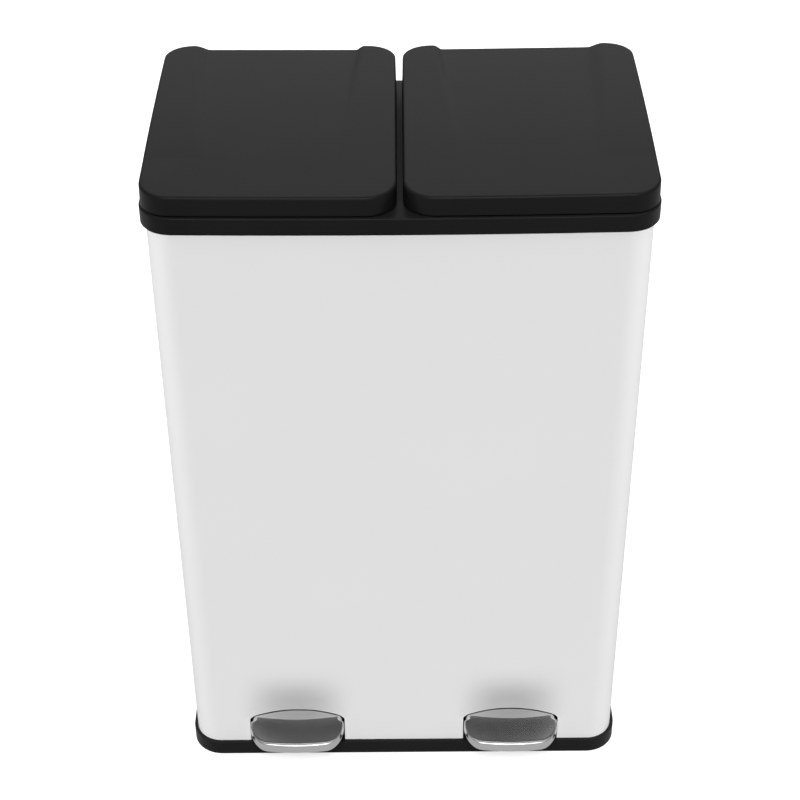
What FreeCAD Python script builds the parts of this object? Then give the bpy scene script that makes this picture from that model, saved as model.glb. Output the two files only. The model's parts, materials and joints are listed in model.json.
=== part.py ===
import FreeCAD, Part
import math
import os

# Double recycling bin with two pedals, in millimetres.
# X runs to the right, Y from the pedals to the back, Z up.
# The origin is the middle of the whole bin's footprint, on the floor.
# Right-hand pieces are modelled, and the left-hand ones are their mirror images.

V = FreeCAD.Vector

# ---- casing: one wrap of painted sheet steel
overall_height = 650.0
casing_width = 418.0
casing_depth = 251.0
casing_corner = 26.0
sheet = 0.8
casing_seat_z = 8.0            # the wrap's lower edge, on the base tray

# ---- toe bowls pressed into the front, and the notch under each
station_shift = 1.75           # pedal, lever and rod stand this far outside the quarter line
bowl_radius = 105.0
bowl_depth = 11.5
bowl_z = 46.0
bowl_blend = 75.0
notch_gap = 0.8                # round the tread, at its sides and above it

# ---- base tray
foot_height = 3.0
foot_radius = 9.0
foot_inset = 34.0
skirt_z = 1.5                  # lower edge of the base's band
base_top_z = 17.0
base_overhang = 3.5
base_floor = 3.0
base_wall = 2.4
wall_gap = 0.2                 # casing to the plastic on both its faces

# ---- top frame
rim_overhang = 5.0
rim_bow = 3.5                  # how far the front bulges at the middle
rim_height = 15.0
rim_flange = 3.0
rim_skirt = 2.2
rim_inner_drop = 6.0           # the inner skirt reaches this far below the band
rim_collar = 2.0
rim_round = 1.2

# ---- lids
lid_back_rise = 35.0           # raised rear corners above the frame
lid_front_rise = 17.5
lid_crown = 3.2
lid_lift = 1.0                 # skirt above the frame, held by the bumpers
lid_half_gap = 2.5
lid_inset = 2.0                # behind the frame's face at front and sides
lid_back_reach = 9.0           # behind the casing's back
lid_wall = 2.5
lid_draft = 0.045              # side walls lean in by this much per millimetre
lid_corner = 26.0
lid_round = 4.0
panel_sink = 4.5               # middle panel below the rear corners
panel_inner_inset = 37.5       # panel floor at the back, from the lid's inner and outer side
panel_outer_inset = 39.0
panel_flank = 11.0             # width of the slope beside the panel
panel_tip_inner_inset = 48.5   # where the panel runs out, towards the front
panel_tip_outer_inset = 49.0
panel_length = 205.0
bumper_x = 29.0                # bumper posts from the lid's sides
bumper_radius = 3.2
bumper_setback = 12.0

# ---- lid hinges
hinge_rise = 17.5              # axis above the frame
hinge_setback = 6.5            # axis in front of the frame's back
lug_radius = 6.0
lug_thickness = 5.0
lug_inset = 22.0               # lug's middle from the lid's side
ear_thickness = 3.0
ear_gap = 0.4
hinge_pin_radius = 2.5
pin_end = 1.0
lid_open_deg = 75.0
swing_gap = 1.0                # lid's rear edge above the frame while it turns

# ---- linkage
rod_radius = 2.5
rod_travel = 24.0
rod_hole_gap = 0.4
link_pin_radius = 2.0
link_tip = 4.0                 # metal round the link pin
fork_wall = 3.0
fork_gap = 0.4
eye_wall = 2.4
eye_play = 0.8                 # slot height over the pin's diameter
eye_slide = 1.1                # slot length over the pin's own travel
guide_z = 180.0
guide_height = 20.0
guide_half_width = 16.0
guide_front = 6.0
guide_corner = 3.0
rivet_radius = 2.0
rivet_offset = 10.0
rivet_head_radius = 4.0
rivet_head = 1.2
rivet_grip = 9.0               # guide rivet's shank, from the casing's back
rivet_bore = 10.0              # its hole in the guide
head_round = 0.8               # on the heads of rivets and screws

# ---- pedal
tread_width = 92.5
tread_proud = 26.0             # front of the lip before the casing's face
tread_rear = 30.0
tread_crease = -1.0            # the level part ends here, behind the face; just before it if negative
tread_top_z = 46.5
tread_slope_deg = 28.0
tread_depth = 8.5              # height of the turned-down edge
tread_sheet = 1.5
tread_bow = 4.5
tread_corner = 14.0
tread_round = 3.0
tread_rivet_y = 23.0
tread_rivet_x = 6.0
tread_rivet_head = 3.5

lever_width = 24.0
lever_thickness = 4.0
lever_top_z = 28.0
lever_start = 6.0              # behind the casing's face, under the tread's level part
lever_drop_start = 34.0
lever_drop_end = 56.0
lever_tail = 9.0               # beyond the rod
pivot_y = 70.0                 # behind the casing's face
pivot_z = 22.0
sleeve_radius = 7.0
sleeve_half = 15.0
bush_radius = 4.5
axle_radius = 3.0
running_gap = 0.05
bracket_sheet = 2.0
bracket_half = 34.0
bracket_depth = 22.0
bracket_corner = 4.0
bracket_ear_radius = 8.0
bracket_screw_x = 27.0
screw_radius = 1.9
screw_play = 0.2
screw_head_radius = 3.6
screw_head = 2.0
axle_end = 2.5
clip_radius = 5.5
clip_thickness = 0.8
pad_height = 3.0
pad_size = 18.0
pad_setback = 53.0             # pad's middle, in front of the casing's back
rest_gap = 0.3

# ---- buckets
bucket_x0 = 11.0
bucket_side_inset = 15.0       # inside the casing's side
bucket_front = 14.0            # behind the casing's face
bucket_back_inset = 35.0       # in front of the casing's back, where the rods run
bucket_corner = 28.0
bucket_wall = 2.0
bucket_floor = 2.5
bucket_taper = 9.0
bucket_bottom_z = 62.0
bucket_gap = 1.0               # bucket to the frame's collar
flange_width = 4.5
flange_thickness = 2.5
bail_radius = 1.8
bail_bend = 2.0                # where each leg turns into its ear
bail_play = 0.2
bail_ear = 4.0
bail_ear_height = 7.5
bail_ear_length = 12.0

# ---- how far a cutting block reaches past what it cuts
past = 1.0
far_past = 20.0

# ---- places that follow from the sizes above
total_depth = tread_proud + casing_depth + lid_back_reach
front_y = tread_proud - total_depth / 2
back_y = front_y + casing_depth
lid_back_y = back_y + lid_back_reach
casing_half = casing_width / 2
station_x = casing_width / 4 + station_shift
rim_half = casing_half + rim_overhang
rim_top_z = overall_height - lid_back_rise
rim_bottom_z = rim_top_z - rim_height
rim_under_z = rim_top_z - rim_flange
hinge_y = back_y + rim_overhang - hinge_setback
hinge_z = rim_top_z + hinge_rise
lid_bottom_z = rim_top_z + lid_lift
lid_side_x = rim_half - lid_inset
lid_front_y = front_y - rim_overhang - rim_bow + lid_inset
lug_places = (lid_half_gap + lug_inset, lid_side_x - lug_inset)
pad_y = back_y - pad_setback
half_swing = math.radians(lid_open_deg / 2)
link_arm = rod_travel / 2 / math.sin(half_swing)
link_y = hinge_y - link_arm * math.cos(half_swing)
link_z = hinge_z - rod_travel / 2
rod_y = hinge_y - link_arm * (1 + math.cos(half_swing)) / 2
eye_slot = link_arm * (1 - math.cos(half_swing)) + 2 * link_pin_radius + eye_slide
eye_slot_height = 2 * link_pin_radius + eye_play
eye_bottom_z = link_z - eye_slot_height / 2 - eye_wall
fork_inner = rod_radius + fork_gap
axle_y = front_y + pivot_y
floor_z = foot_height + base_floor
bucket_top_z = rim_top_z
flange_top_z = bucket_top_z + flange_thickness
bucket_x1 = casing_half - bucket_side_inset
bucket_y0 = front_y + bucket_front
bucket_y1 = back_y - bucket_back_inset
bail_y = (bucket_y0 + bucket_y1) / 2
bail_z = flange_top_z + bail_radius + running_gap


def box(x0, x1, y0, y1, z0, z1):
    return Part.makeBox(x1 - x0, y1 - y0, z1 - z0, V(x0, y0, z0))


def post(x, y, z0, z1, radius):
    return Part.makeCylinder(radius, z1 - z0, V(x, y, z0), V(0, 0, 1))


def pin(x0, x1, y, z, radius):
    return Part.makeCylinder(radius, x1 - x0, V(x0, y, z), V(1, 0, 0))


def mirrored(shape):
    return shape.mirror(V(0, 0, 0), V(1, 0, 0))


def both_sides(shape):
    return Part.makeCompound([shape, mirrored(shape)])


def fused(first, others):
    return first.fuse(others).removeSplitter()


def bow_at(x, bow, half):
    # How far the bowed front lies behind its middle, at x.
    return bow * (x / half) ** 2


def outline(x0, x1, y0, y1, z, bow=0.0, half=1.0):
    # Four-sided wire; its front edge is an arc that bulges towards -Y by bow over half the width.
    front = [V(x, y0 + bow_at(x, bow, half), z) for x in (x0, (x0 + x1) / 2, x1)]
    if bow:
        front_edge = Part.Arc(*front).toShape()
    else:
        front_edge = Part.makeLine(front[0], front[2])
    rear_right = V(x1, y1, z)
    rear_left = V(x0, y1, z)
    return Part.Wire([
        front_edge,
        Part.makeLine(front[2], rear_right),
        Part.makeLine(rear_right, rear_left),
        Part.makeLine(rear_left, front[0]),
    ])


def upright_edges(solid):
    # The four corner edges of a prism or of a tapered block.
    edges = []
    for edge in solid.Edges:
        ends = [vertex.Point for vertex in edge.Vertexes]
        if len(ends) == 2 and abs(ends[0].z - ends[1].z) > 0.5 * solid.BoundBox.ZLength:
            edges.append(edge)
    return edges


def prism(x0, x1, y0, y1, z0, z1, corner, bow=0.0, half=1.0):
    face = Part.Face(outline(x0, x1, y0, y1, z0, bow, half))
    solid = face.extrude(V(0, 0, z1 - z0))
    return solid.makeFillet(corner, upright_edges(solid))


def casing_prism(grow, z0, z1, bow=0.0):
    # Block of the casing's outline, grown (or shrunk) all round by grow.
    x = casing_half + grow
    return prism(-x, x, front_y - grow - bow, back_y + grow, z0, z1, casing_corner + grow, bow, x)


def side_profile(points, x0, x1):
    # Prism along X over a closed outline of (y, z) points.
    corners = [V(x0, y, z) for y, z in points]
    face = Part.Face(Part.makePolygon(corners + corners[:1]))
    return face.extrude(V(x1 - x0, 0, 0))


# ---------------------------------------------------------------- casing

def bowled_block(grow, z0, z1):
    # Block of the casing's outline with the toe bowls pressed into its front.
    # A negative grow moves every surface inwards. It starts low enough for a whole bowl.
    block = casing_prism(grow, bowl_z - 1.2 * bowl_radius, z1)
    radius = bowl_radius - grow
    middle_y = front_y + bowl_depth - bowl_radius
    for x in (-station_x, station_x):
        ball = Part.makeSphere(radius, V(x, middle_y, bowl_z))
        block = block.cut(ball)
    rims = [e for e in block.Edges if isinstance(e.Curve, Part.Circle) and abs(e.Curve.Axis.y) > 0.9
            and e.Curve.Radius > bowl_depth]
    block = block.makeFillet(bowl_blend + grow, rims)
    return block.cut(casing_prism(far_past, bowl_z - 2 * bowl_radius, z0))


def tread_notch():
    # Its upper corners are rounded about the tread's own rounded edges.
    half = tread_width / 2 + notch_gap
    top_z = tread_top_z + notch_gap
    notch = box(station_x - half, station_x + half, front_y - past, front_y + bowl_depth + 4 * sheet,
                casing_seat_z - past, top_z)
    corners = [edge for edge in notch.Edges
               if edge.BoundBox.XLength < 0.01 and edge.BoundBox.ZMin > top_z - 0.01]
    return both_sides(notch.makeFillet(tread_round + notch_gap, corners))


def guide_rivet_places():
    z = guide_z + guide_height / 2
    return [(station_x + step, z) for step in (-rivet_offset, rivet_offset)]


def make_casing():
    # The inner block runs past both ends, so that the wrap is open above and below.
    outer = bowled_block(0, casing_seat_z, rim_under_z)
    inner = bowled_block(-sheet, casing_seat_z - past, rim_under_z + past)
    wrap = outer.cut(inner).cut(tread_notch())
    for x, z in guide_rivet_places():
        hole = Part.makeCylinder(rivet_radius + running_gap, sheet + 2 * past, V(x, back_y - sheet - past, z),
                                 V(0, 1, 0))
        wrap = wrap.cut(both_sides(hole))
    return wrap


# ---------------------------------------------------------------- base

def bracket_screw_places():
    return [(station_x + step, axle_y) for step in (-bracket_screw_x, bracket_screw_x)]


def foot_places():
    x = casing_half - foot_inset
    return [(x, front_y + foot_inset), (x, back_y - foot_inset)]


def make_base_tray():
    band = casing_prism(base_overhang, skirt_z, base_top_z)
    band = band.cut(casing_prism(wall_gap, casing_seat_z, base_top_z + past))
    band = band.cut(casing_prism(base_overhang - base_wall, skirt_z - past, foot_height))
    hollow = casing_prism(-sheet - wall_gap - base_wall, floor_z, base_top_z + past)
    inner = casing_prism(-sheet - wall_gap, foot_height, base_top_z).cut(hollow)
    tray = fused(band.cut(hollow), [inner])
    half = pad_size / 2
    rest = box(station_x - half, station_x + half, pad_y - half, pad_y + half,
               floor_z, lever_top_z - lever_thickness - pad_height)
    tray = fused(tray, [rest, mirrored(rest)])
    for x, y in bracket_screw_places():
        hole = post(x, y, foot_height - past, floor_z + past, screw_radius + running_gap)
        tray = tray.cut(both_sides(hole))
    return tray


def make_foot_pads():
    pads = [both_sides(post(x, y, 0, foot_height, foot_radius)) for x, y in foot_places()]
    return Part.makeCompound(pads)


def make_lever_pads():
    half = pad_size / 2
    top = lever_top_z - lever_thickness
    pad = box(station_x - half, station_x + half, pad_y - half, pad_y + half, top - pad_height, top)
    return both_sides(pad)


# ---------------------------------------------------------------- top frame

def aperture(grow, z0, z1):
    # Opening for the right-hand bucket, grown by grow.
    reach = bucket_gap + grow
    return prism(bucket_x0 - reach, bucket_x1 + reach, bucket_y0 - reach, bucket_y1 + reach,
                 z0, z1, bucket_corner + reach)


def hinge_lug(x):
    half = lug_thickness / 2
    foot = box(x - half, x + half, hinge_y - lug_radius, hinge_y + lug_radius, rim_under_z, hinge_z)
    return foot.fuse(pin(x - half, x + half, hinge_y, hinge_z, lug_radius))


def make_rim_frame():
    band = casing_prism(rim_overhang, rim_bottom_z, rim_top_z, rim_bow)
    band = band.cut(casing_prism(wall_gap, rim_bottom_z - past, rim_under_z))
    skirt_low = rim_bottom_z - rim_inner_drop
    skirt = casing_prism(-sheet - wall_gap, skirt_low, rim_under_z)
    skirt = skirt.cut(casing_prism(-sheet - wall_gap - rim_skirt, skirt_low - past, rim_under_z + past))
    collar = aperture(rim_collar, rim_bottom_z, rim_under_z)
    lugs = [hinge_lug(x) for x in lug_places]
    frame = fused(band, [skirt, collar, mirrored(collar)] + lugs + [mirrored(lug) for lug in lugs])
    frame = frame.cut(both_sides(aperture(0, rim_bottom_z - past, rim_top_z + past)))
    rod_hole = post(station_x, rod_y, rim_bottom_z, rim_top_z + past, rod_radius + rod_hole_gap)
    frame = frame.cut(both_sides(rod_hole))
    for x in lug_places:
        bore = pin(x - lug_thickness, x + lug_thickness, hinge_y, hinge_z, hinge_pin_radius + running_gap)
        frame = frame.cut(both_sides(bore))
    top_edges = []
    for edge in frame.Edges:
        low, high = edge.BoundBox.ZMin, edge.BoundBox.ZMax
        outer = max(abs(edge.BoundBox.XMin), abs(edge.BoundBox.XMax)) > rim_half - 0.5 * rim_overhang
        front = edge.BoundBox.YMin < front_y - 0.5 * rim_overhang
        if low > rim_top_z - 0.01 and high < rim_top_z + 0.01 and (outer or front):
            top_edges.append(edge)
    return frame.makeFillet(rim_round, top_edges)


def make_hinge_pins():
    pins = []
    reach = lug_thickness / 2 + ear_gap + ear_thickness + pin_end
    for x in lug_places:
        pins.append(pin(x - reach, x + reach, hinge_y, hinge_z, hinge_pin_radius))
    return Part.makeCompound(pins)


# ---------------------------------------------------------------- lids (right-hand)

def crown_points(drop, y_low, y_high):
    # Three points of the lid's top line, from its front face to its back.
    front = (y_low, rim_top_z + lid_front_rise - drop)
    back = (y_high, rim_top_z + lid_back_rise - drop)
    middle = ((y_low + y_high) / 2, (front[1] + back[1]) / 2 + lid_crown)
    return front, middle, back


def under_crown(drop):
    # Everything below the lid's crowned top line, across the bin.
    front, middle, back = crown_points(drop, lid_front_y, lid_back_y)
    x = lid_half_gap - far_past
    arc = Part.Arc(V(x, *front), V(x, *middle), V(x, *back)).toShape()
    low = lid_bottom_z - far_past
    behind, before = back[0] + far_past, front[0] - far_past
    corners = [V(x, *back), V(x, behind, back[1]), V(x, behind, low), V(x, before, low),
               V(x, before, front[1]), V(x, *front)]
    edges = [arc] + [Part.makeLine(a, b) for a, b in zip(corners, corners[1:])]
    return Part.Face(Part.Wire(edges)).extrude(V(rim_half + 2 * far_past, 0, 0))


def lid_wire(z, inset, back_inset):
    lean = lid_draft * (z - lid_bottom_z)
    side = inset + lean
    return outline(lid_half_gap + side, lid_side_x - side, lid_front_y + side, lid_back_y - back_inset,
                   z, rim_bow, rim_half)


def lid_block(inset, z0):
    # Drafted block of the lid's outline; inset makes the hollow inside it.
    z1 = overall_height + far_past
    block = Part.makeLoft([lid_wire(z0, inset, inset), lid_wire(z1, inset, inset)], True, True)
    return block.makeFillet(lid_corner - inset, upright_edges(block))


def panel_cut(drop):
    # The wedge that sinks the lid's middle panel towards the back.
    front, middle, back = crown_points(drop, lid_front_y, lid_back_y)
    back_z = back[1] - panel_sink
    slope = panel_sink / panel_flank
    head = far_past
    spread = head / slope
    tip_y = lid_back_y - panel_length
    share = (tip_y - front[0]) / (back[0] - front[0])
    tip_z = front[1] + (back[1] - front[1]) * share + 4 * lid_crown * share * (1 - share)
    sections = []
    # The back section stands past the lid, and the front one lies on the crown, at no depth.
    for y, inner, outer, z in ((back[0] + past, panel_inner_inset, panel_outer_inset, back_z),
                               (tip_y, panel_tip_inner_inset, panel_tip_outer_inset, tip_z)):
        x0, x1 = lid_half_gap + inner, lid_side_x - outer
        corners = [V(x0, y, z), V(x1, y, z), V(x1 + spread, y, z + head), V(x0 - spread, y, z + head)]
        sections.append(Part.makePolygon(corners + corners[:1]))
    return Part.makeLoft(sections, True, True)


def top_rim_edges(solid):
    # The edges where the lid's walls meet its crowned top.
    width, depth = lid_side_x - lid_half_gap, lid_back_y - lid_front_y
    tops = [f for f in solid.Faces if f.BoundBox.XLength > 0.7 * width
            and f.BoundBox.ZMin > lid_bottom_z + past and f.BoundBox.YLength > 0.4 * depth]
    return [edge for face in tops for edge in face.OuterWire.Edges]


def hinge_slots():
    half = lug_thickness / 2 + ear_gap
    slots = []
    for x in lug_places:
        slots.append(box(x - half, x + half, hinge_y + ear_gap, lid_back_y + past, lid_bottom_z - past,
                         hinge_z + lug_radius))
    return slots


def rear_trim():
    # Below the axis and behind it, the lid ends on a circle about the axis, so that it clears the frame.
    corner = box(0, rim_half, hinge_y, lid_back_y + past, lid_bottom_z - past, hinge_z)
    return corner.cut(pin(-past, rim_half + past, hinge_y, hinge_z, hinge_rise - swing_gap))


def lid_ears():
    ears = []
    step = lug_thickness / 2 + ear_gap
    for x in lug_places:
        for x0 in (x - step - ear_thickness, x + step):
            stem = box(x0, x0 + ear_thickness, hinge_y - lug_radius, hinge_y + lug_radius, hinge_z,
                       overall_height)
            ears.append(stem.fuse(pin(x0, x0 + ear_thickness, hinge_y, hinge_z, lug_radius)))
    return ears


def lid_fork():
    prongs = []
    for x0 in (station_x - fork_inner - fork_wall, station_x + fork_inner):
        stem = box(x0, x0 + fork_wall, link_y - link_tip, link_y + 2 * link_tip, link_z, overall_height)
        prongs.append(stem.fuse(pin(x0, x0 + fork_wall, link_y, link_z, link_tip)))
    return prongs


def bumper_places():
    y = lid_front_y + bumper_setback
    return [(lid_half_gap + bumper_x, y), (lid_side_x - bumper_x, y)]


def make_lid():
    outer = lid_block(0, lid_bottom_z).common(under_crown(0))
    outer = outer.makeFillet(lid_round, top_rim_edges(outer))
    outer = outer.cut(panel_cut(0))
    hollow = lid_block(lid_wall, lid_bottom_z - past).common(under_crown(lid_wall))
    hollow = hollow.cut(panel_cut(lid_wall))
    shell = outer.cut(hollow)
    inside = lid_ears() + lid_fork()
    inside += [post(x, y, lid_bottom_z, overall_height, bumper_radius) for x, y in bumper_places()]
    inside = [piece.common(outer) for piece in inside]
    lid = fused(shell.cut(rear_trim()), inside)
    for slot in hinge_slots():
        lid = lid.cut(slot)
    ear_reach = lug_thickness / 2 + ear_gap + ear_thickness + past
    for x in lug_places:
        lid = lid.cut(pin(x - ear_reach, x + ear_reach, hinge_y, hinge_z, hinge_pin_radius + running_gap))
    fork_reach = fork_inner + fork_wall + past
    return lid.cut(pin(station_x - fork_reach, station_x + fork_reach, link_y, link_z,
                       link_pin_radius + running_gap))


def make_lid_bumpers():
    pads = [post(x, y, rim_top_z, lid_bottom_z, bumper_radius) for x, y in bumper_places()]
    return Part.makeCompound(pads)


def make_link_pin():
    reach = fork_inner + fork_wall + pin_end
    return pin(station_x - reach, station_x + reach, link_y, link_z, link_pin_radius)


# ---------------------------------------------------------------- rods (right-hand)

def stadium(x0, x1, length, height):
    # Flat bar across X with round ends, about the rod's line and the link pin's height.
    radius = height / 2
    half = length / 2 - radius
    bar = box(x0, x1, rod_y - half, rod_y + half, link_z - radius, link_z + radius)
    ends = [pin(x0, x1, rod_y + step, link_z, radius) for step in (-half, half)]
    return fused(bar, ends)


def make_rod_eye():
    x0, x1 = station_x - rod_radius, station_x + rod_radius
    ring = stadium(x0, x1, eye_slot + 2 * eye_wall, eye_slot_height + 2 * eye_wall)
    return ring.cut(stadium(x0 - past, x1 + past, eye_slot, eye_slot_height))


def make_lift_rod():
    low = lever_top_z + rest_gap + rod_radius
    rod = post(station_x, rod_y, low, eye_bottom_z, rod_radius)
    return fused(rod, [Part.makeSphere(rod_radius, V(station_x, rod_y, low))])


def make_rod_guide():
    inner_y = back_y - sheet
    block = box(station_x - guide_half_width, station_x + guide_half_width, rod_y - guide_front, inner_y,
                guide_z, guide_z + guide_height)
    front_corners = [edge for edge in upright_edges(block) if edge.BoundBox.YMax < rod_y]
    block = block.makeFillet(guide_corner, front_corners)
    block = block.cut(post(station_x, rod_y, guide_z - past, guide_z + guide_height + past,
                           rod_radius + rod_hole_gap))
    for x, z in guide_rivet_places():
        hole = Part.makeCylinder(rivet_radius + running_gap, rivet_bore + past, V(x, inner_y - rivet_bore, z),
                                 V(0, 1, 0))
        block = block.cut(hole)
    return block


def make_guide_rivets():
    rivets = []
    for x, z in guide_rivet_places():
        shank = Part.makeCylinder(rivet_radius, rivet_grip, V(x, back_y - rivet_grip, z), V(0, 1, 0))
        head = Part.makeCylinder(rivet_head_radius, rivet_head, V(x, back_y, z), V(0, 1, 0))
        outer_edges = [edge for edge in head.Edges if edge.BoundBox.YMin > back_y + rivet_head - 0.01]
        head = head.makeFillet(head_round, outer_edges)
        rivets.append(both_sides(fused(shank, [head])))
    return Part.makeCompound(rivets)


# ---------------------------------------------------------------- pedals (right-hand)

def tread_form(inset, drop):
    # Pressed form of the tread: its outline from above, met by its bent side profile.
    # The front bulges by tread_bow over half the width.
    x0 = station_x - tread_width / 2 + inset
    x1 = station_x + tread_width / 2 - inset
    y0 = front_y - tread_proud + inset
    y1 = front_y + tread_rear
    half = tread_width / 2
    arc = Part.Arc(V(x0, y0 + tread_bow, 0), V(station_x, y0, 0), V(x1, y0 + tread_bow, 0)).toShape()
    wire = Part.Wire([
        arc,
        Part.makeLine(V(x1, y0 + tread_bow, 0), V(x1, y1 + inset, 0)),
        Part.makeLine(V(x1, y1 + inset, 0), V(x0, y1 + inset, 0)),
        Part.makeLine(V(x0, y1 + inset, 0), V(x0, y0 + tread_bow, 0)),
    ])
    plan = Part.Face(wire).extrude(V(0, 0, 2 * tread_top_z))
    front_corners = [edge for edge in upright_edges(plan) if edge.BoundBox.YMax < front_y]
    plan = plan.makeFillet(tread_corner - inset, front_corners)
    crease_y = front_y + tread_crease
    reach = tread_proud + tread_crease + past
    fall = reach * math.tan(math.radians(tread_slope_deg))
    top = tread_top_z - drop
    low = tread_top_z - tread_depth - (past if drop else 0)
    section = side_profile([
        (crease_y, top),
        (y1 + tread_sheet + past, top),
        (y1 + tread_sheet + past, low),
        (crease_y, low),
        (crease_y - reach, low - fall),
        (crease_y - reach, top - fall),
    ], station_x - half - past, station_x + half + past)
    return plan.common(section)


def make_pedal_tread():
    outer = tread_form(0, 0)
    upper = []
    for edge in outer.Edges:
        reach = edge.BoundBox
        middle_y = (reach.YMin + reach.YMax) / 2
        fall = max(0.0, front_y + tread_crease - middle_y) * math.tan(math.radians(tread_slope_deg))
        on_top = (reach.ZMin + reach.ZMax) / 2 > tread_top_z - fall - 0.4 * tread_depth
        across = reach.XLength > tread_width - 1
        is_crease = across and abs(middle_y - front_y - tread_crease) < 0.1
        is_rear = middle_y > front_y + tread_rear - 0.1
        flat = reach.ZLength < 0.6 * tread_depth or reach.YLength > 0.1 * tread_width
        if on_top and flat and not is_crease and not is_rear:
            upper.append(edge)
    outer = outer.makeFillet(tread_round, upper)
    tread = outer.cut(tread_form(tread_sheet, tread_sheet))
    for x, y in tread_rivet_places():
        tread = tread.cut(post(x, y, tread_top_z - tread_sheet - past, tread_top_z + past,
                               rivet_radius + running_gap))
    return tread


def tread_rivet_places():
    return [(station_x + step, front_y + tread_rivet_y) for step in (-tread_rivet_x, tread_rivet_x)]


def make_tread_rivets():
    rivets = []
    under = tread_top_z - tread_sheet - lever_thickness
    for x, y in tread_rivet_places():
        shank = post(x, y, under, tread_top_z, rivet_radius)
        head = post(x, y, tread_top_z, tread_top_z + rivet_head, tread_rivet_head)
        tail = post(x, y, under - rivet_head, under, tread_rivet_head)
        rivets.append(fused(shank, [head, tail]))
    return Part.makeCompound(rivets)


def make_pedal_lever():
    # Steel strip: level under the tread, cranked down to the pivot, level to the rod.
    top = tread_top_z - tread_sheet
    under = top - lever_thickness
    start = front_y + lever_start
    drop0, drop1 = front_y + lever_drop_start, front_y + lever_drop_end
    crank = math.atan2(top - lever_top_z, drop1 - drop0)
    step = lever_thickness * math.tan(crank / 2)
    low = lever_top_z - lever_thickness
    strip = side_profile([
        (start, top),
        (drop0, top),
        (drop1, lever_top_z),
        (rod_y + lever_tail, lever_top_z),
        (rod_y + lever_tail, low),
        (drop1 - step, low),
        (drop0 - step, under),
        (start, under),
    ], station_x - lever_width / 2, station_x + lever_width / 2)
    sleeve = pin(station_x - sleeve_half, station_x + sleeve_half, axle_y, pivot_z, sleeve_radius)
    lever = fused(strip, [sleeve])
    lever = lever.cut(pin(station_x - sleeve_half - past, station_x + sleeve_half + past, axle_y, pivot_z,
                          bush_radius + running_gap))
    for x, y in tread_rivet_places():
        lever = lever.cut(post(x, y, under - past, top + past, rivet_radius + running_gap))
    return lever


def make_pivot_bush():
    bush = pin(station_x - sleeve_half, station_x + sleeve_half, axle_y, pivot_z, bush_radius)
    return bush.cut(pin(station_x - sleeve_half - past, station_x + sleeve_half + past, axle_y, pivot_z,
                        axle_radius + running_gap))


def make_pedal_bracket():
    plate_top = floor_z + bracket_sheet
    y0, y1 = axle_y - bracket_depth / 2, axle_y + bracket_depth / 2
    plate = prism(station_x - bracket_half, station_x + bracket_half, y0, y1, floor_z, plate_top,
                  bracket_corner)
    inner = sleeve_half + rest_gap
    ears = []
    for x0 in (station_x - inner - bracket_sheet, station_x + inner):
        stem = box(x0, x0 + bracket_sheet, axle_y - bracket_ear_radius, axle_y + bracket_ear_radius,
                   floor_z, pivot_z)
        ears.append(stem.fuse(pin(x0, x0 + bracket_sheet, axle_y, pivot_z, bracket_ear_radius)))
    bracket = fused(plate, ears)
    bracket = bracket.cut(pin(station_x - bracket_half, station_x + bracket_half, axle_y, pivot_z,
                              axle_radius + running_gap))
    for x, y in bracket_screw_places():
        bracket = bracket.cut(post(x, y, floor_z - past, plate_top + past, screw_radius + screw_play))
    return bracket


def make_pedal_axle():
    reach = sleeve_half + rest_gap + bracket_sheet + axle_end
    return pin(station_x - reach, station_x + reach, axle_y, pivot_z, axle_radius)


def make_axle_clips():
    clips = []
    face = sleeve_half + rest_gap + bracket_sheet + running_gap
    for x0 in (station_x - face - clip_thickness, station_x + face):
        ring = pin(x0, x0 + clip_thickness, axle_y, pivot_z, clip_radius)
        ring = ring.cut(pin(x0 - past, x0 + clip_thickness + past, axle_y, pivot_z,
                            axle_radius + running_gap))
        clips.append(both_sides(ring))
    return Part.makeCompound(clips)


def make_bracket_screws():
    screws = []
    plate_top = floor_z + bracket_sheet
    for x, y in bracket_screw_places():
        shank = post(x, y, foot_height, plate_top, screw_radius)
        head = post(x, y, plate_top, plate_top + screw_head, screw_head_radius)
        top = plate_top + screw_head
        head = head.makeFillet(head_round, [edge for edge in head.Edges if edge.BoundBox.ZMin > top - 0.01])
        long, thin = 0.7 * screw_head_radius, 0.15 * screw_head_radius
        slot = box(x - long, x + long, y - thin, y + thin, top - screw_head / 2, top + past)
        cross = box(x - thin, x + thin, y - long, y + long, top - screw_head / 2, top + past)
        screws.append(both_sides(fused(shank, [head]).cut(slot).cut(cross)))
    return Part.makeCompound(screws)


# ---------------------------------------------------------------- buckets (right-hand)

def bucket_block(inset, z0, z1):
    # Tapered block of the bucket; inset makes its inside.
    def wire(z):
        share = (bucket_top_z - z) / (bucket_top_z - bucket_bottom_z)
        side = inset + bucket_taper * share
        return outline(bucket_x0 + side, bucket_x1 - side, bucket_y0 + side, bucket_y1 - side, z)
    block = Part.makeLoft([wire(z0), wire(z1)], True, True)
    return block.makeFillet(bucket_corner - inset, upright_edges(block))


def make_bucket():
    body = bucket_block(0, bucket_bottom_z, bucket_top_z)
    flange = aperture(flange_width - bucket_gap, bucket_top_z, flange_top_z)
    ears = []
    for x0 in (bucket_x0 - flange_width, bucket_x1 + flange_width - bail_ear):
        ears.append(box(x0, x0 + bail_ear, bail_y - bail_ear_length / 2, bail_y + bail_ear_length / 2,
                        bucket_top_z, flange_top_z + bail_ear_height))
    bucket = fused(body, [flange] + ears)
    bucket = bucket.cut(bucket_block(bucket_wall, bucket_bottom_z + bucket_floor, flange_top_z + past))
    bore = pin(bucket_x0 - flange_width - past, bucket_x1 + flange_width + past, bail_y, bail_z,
               bail_radius + bail_play)
    return bucket.cut(bore)


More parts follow.
